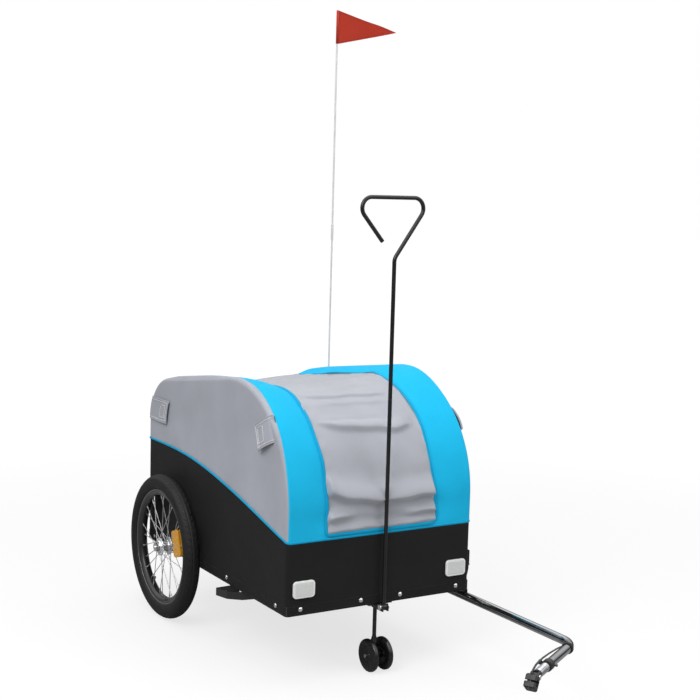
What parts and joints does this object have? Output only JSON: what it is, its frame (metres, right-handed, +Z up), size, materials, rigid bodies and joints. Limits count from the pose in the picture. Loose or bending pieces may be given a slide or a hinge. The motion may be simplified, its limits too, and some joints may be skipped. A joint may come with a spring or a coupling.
{
  "type": "bicycle trailer",
  "caption": "Two-wheel fabric-covered bicycle trailer with a side tow arm, front caster, upright pull handle and flag.",
  "frame": {"origin": "centre of the whole footprint, on the ground", "axes": "+Z up; -Y is the towing direction; +X is the trailer's left, the side with the tow arm and the flag"},
  "size_m": [0.815, 1.4024, 1.722],
  "materials": {
    "blue_fabric": "coated polyester",
    "cover_fabric": "satin polyester",
    "side_fabric": "coated polyester",
    "black_fabric": "woven polyester",
    "flag_fabric": "nylon",
    "black_paint": "gloss black",
    "steel": "plated",
    "chrome": "polished",
    "hub_silver": "satin",
    "rim_black": "satin black",
    "tyre": "rubber",
    "tube_rubber": "smooth",
    "black_plastic": "satin",
    "amber_plastic": "prismatic",
    "white_plastic": "prismatic",
    "red_plastic": "prismatic",
    "board": "sealed plywood",
    "pole": "glass fibre"
  },
  "bodies": {
    "trailer": {"cover_skirt": "black_fabric", "side_panel_right": "side_fabric", "side_panel_left": "side_fabric", "roof_bands": "blue_fabric", "centre_cover": "cover_fabric", "rear_panel": "side_fabric", "side_tabs": "side_fabric", "parts_pocket": "black_fabric", "front_reflectors": "white_plastic", "rear_reflectors": "red_plastic", "skirt_bolts": "steel", "base_frame": "black_paint", "floor_board": "board", "side_hoops": "steel", "hoop_snap_buttons": "steel", "spreader_bars": "steel", "frame_screws": "steel", "stow_hook": "black_paint", "tow_arm_brackets": "black_paint", "tow_arm_pivot_bolt": "steel", "front_bracket": "black_paint", "flag_sleeve": "black_fabric", "handle_pivot_bolt": "chrome"},
    "caster": {"caster_stem": "black_paint", "caster_axle": "steel"},
    "caster_right": {"caster_wheel_right": "black_plastic"},
    "caster_left": {"caster_wheel_left": "black_plastic"},
    "handle": {"handle_lower_rod": "black_paint", "handle_grip_rod": "black_paint", "handle_snap_button": "steel"},
    "tow_arm": {"tow_arm": "black_paint", "arm_end_collar": "black_plastic", "coupling_plug": "steel", "coupling_spring": "chrome", "safety_strap": "black_fabric"},
    "retaining_pin": {"hitch_retaining_pin": "chrome"},
    "hitch_link": {"hitch_clevis": "black_paint", "hitch_rivet": "steel"},
    "hitch_clamp": {"hitch_clamp": "black_paint", "clamp_screw": "steel"},
    "flag": {"flag_pole": "pole", "flag": "flag_fabric"},
    "right_axle": {"right_axle": "steel"},
    "right_button": {"right_release_button": "steel"},
    "right_wheel": {"right_tyre": "tyre", "right_rim": "rim_black", "right_inner_tube": "tube_rubber", "right_spokes": "chrome", "right_hub": "hub_silver", "right_bearings": "steel", "right_spoke_reflector": "amber_plastic"},
    "left_axle": {"left_axle": "steel"},
    "left_button": {"left_release_button": "steel"},
    "left_wheel": {"left_tyre": "tyre", "left_rim": "rim_black", "left_inner_tube": "tube_rubber", "left_spokes": "chrome", "left_hub": "hub_silver", "left_bearings": "steel", "left_spoke_reflector": "amber_plastic"}
  },
  "joints": [
    {"name": "right_axle_release", "type": "slide", "parent": "trailer", "child": "right_axle", "axis": [-1, 0, 0], "range_m": [0, 0.09]},
    {"name": "right_button_press", "type": "slide", "parent": "right_axle", "child": "right_button", "axis": [1, 0, 0], "range_m": [0, 0.003], "stiffness_N_per_m": 400},
    {"name": "right_wheel_spin", "type": "hinge", "parent": "right_axle", "child": "right_wheel", "pos_m": [-0.3765, 0.5048, 0.2], "axis": [1, 0, 0], "continuous": true},
    {"name": "left_axle_release", "type": "slide", "parent": "trailer", "child": "left_axle", "axis": [1, 0, 0], "range_m": [0, 0.09]},
    {"name": "left_button_press", "type": "slide", "parent": "left_axle", "child": "left_button", "axis": [-1, 0, 0], "range_m": [0, 0.003], "stiffness_N_per_m": 400},
    {"name": "left_wheel_spin", "type": "hinge", "parent": "left_axle", "child": "left_wheel", "pos_m": [0.2275, 0.5048, 0.2], "axis": [1, 0, 0], "continuous": true},
    {"name": "caster_swivel", "type": "hinge", "parent": "trailer", "child": "caster", "pos_m": [-0.0745, -0.1072, 0.12], "axis": [0, 0, 1], "continuous": true},
    {"name": "caster_right_spin", "type": "hinge", "parent": "caster", "child": "caster_right", "pos_m": [-0.0955, -0.1172, 0.0415], "axis": [1, 0, 0], "continuous": true},
    {"name": "caster_left_spin", "type": "hinge", "parent": "caster", "child": "caster_left", "pos_m": [-0.0535, -0.1172, 0.0415], "axis": [1, 0, 0], "continuous": true},
    {"name": "handle_tilt", "type": "hinge", "parent": "trailer", "child": "handle", "pos_m": [-0.0745, -0.1452, 0.171], "axis": [1, 0, 0], "range_deg": [0, 75]},
    {"name": "tow_arm_swing", "type": "hinge", "parent": "trailer", "child": "tow_arm", "pos_m": [0.1825, 0.0748, 0.163], "axis": [0, 0, 1], "range_deg": [-40, 0]},
    {"name": "hitch_pin_pull", "type": "slide", "parent": "tow_arm", "child": "retaining_pin", "axis": [-0.5, 0.866, 0], "range_m": [0, 0.05]},
    {"name": "hitch_turn", "type": "hinge", "parent": "tow_arm", "child": "hitch_link", "pos_m": [0.00323, -0.6477, 0.163], "axis": [0, 0, 1], "range_deg": [-25, 25], "stiffness_Nm_per_rad": 6, "deforming": ["coupling_spring"]},
    {"name": "hitch_tilt", "type": "hinge", "parent": "hitch_link", "child": "hitch_clamp", "pos_m": [-0.03227, -0.6682, 0.163], "axis": [-0.5, 0.866, 0], "range_deg": [-30, 30]},
    {"name": "flag_lift", "type": "slide", "parent": "trailer", "child": "flag", "axis": [0, 0, 1], "range_m": [0, 0.14]}
  ]
}
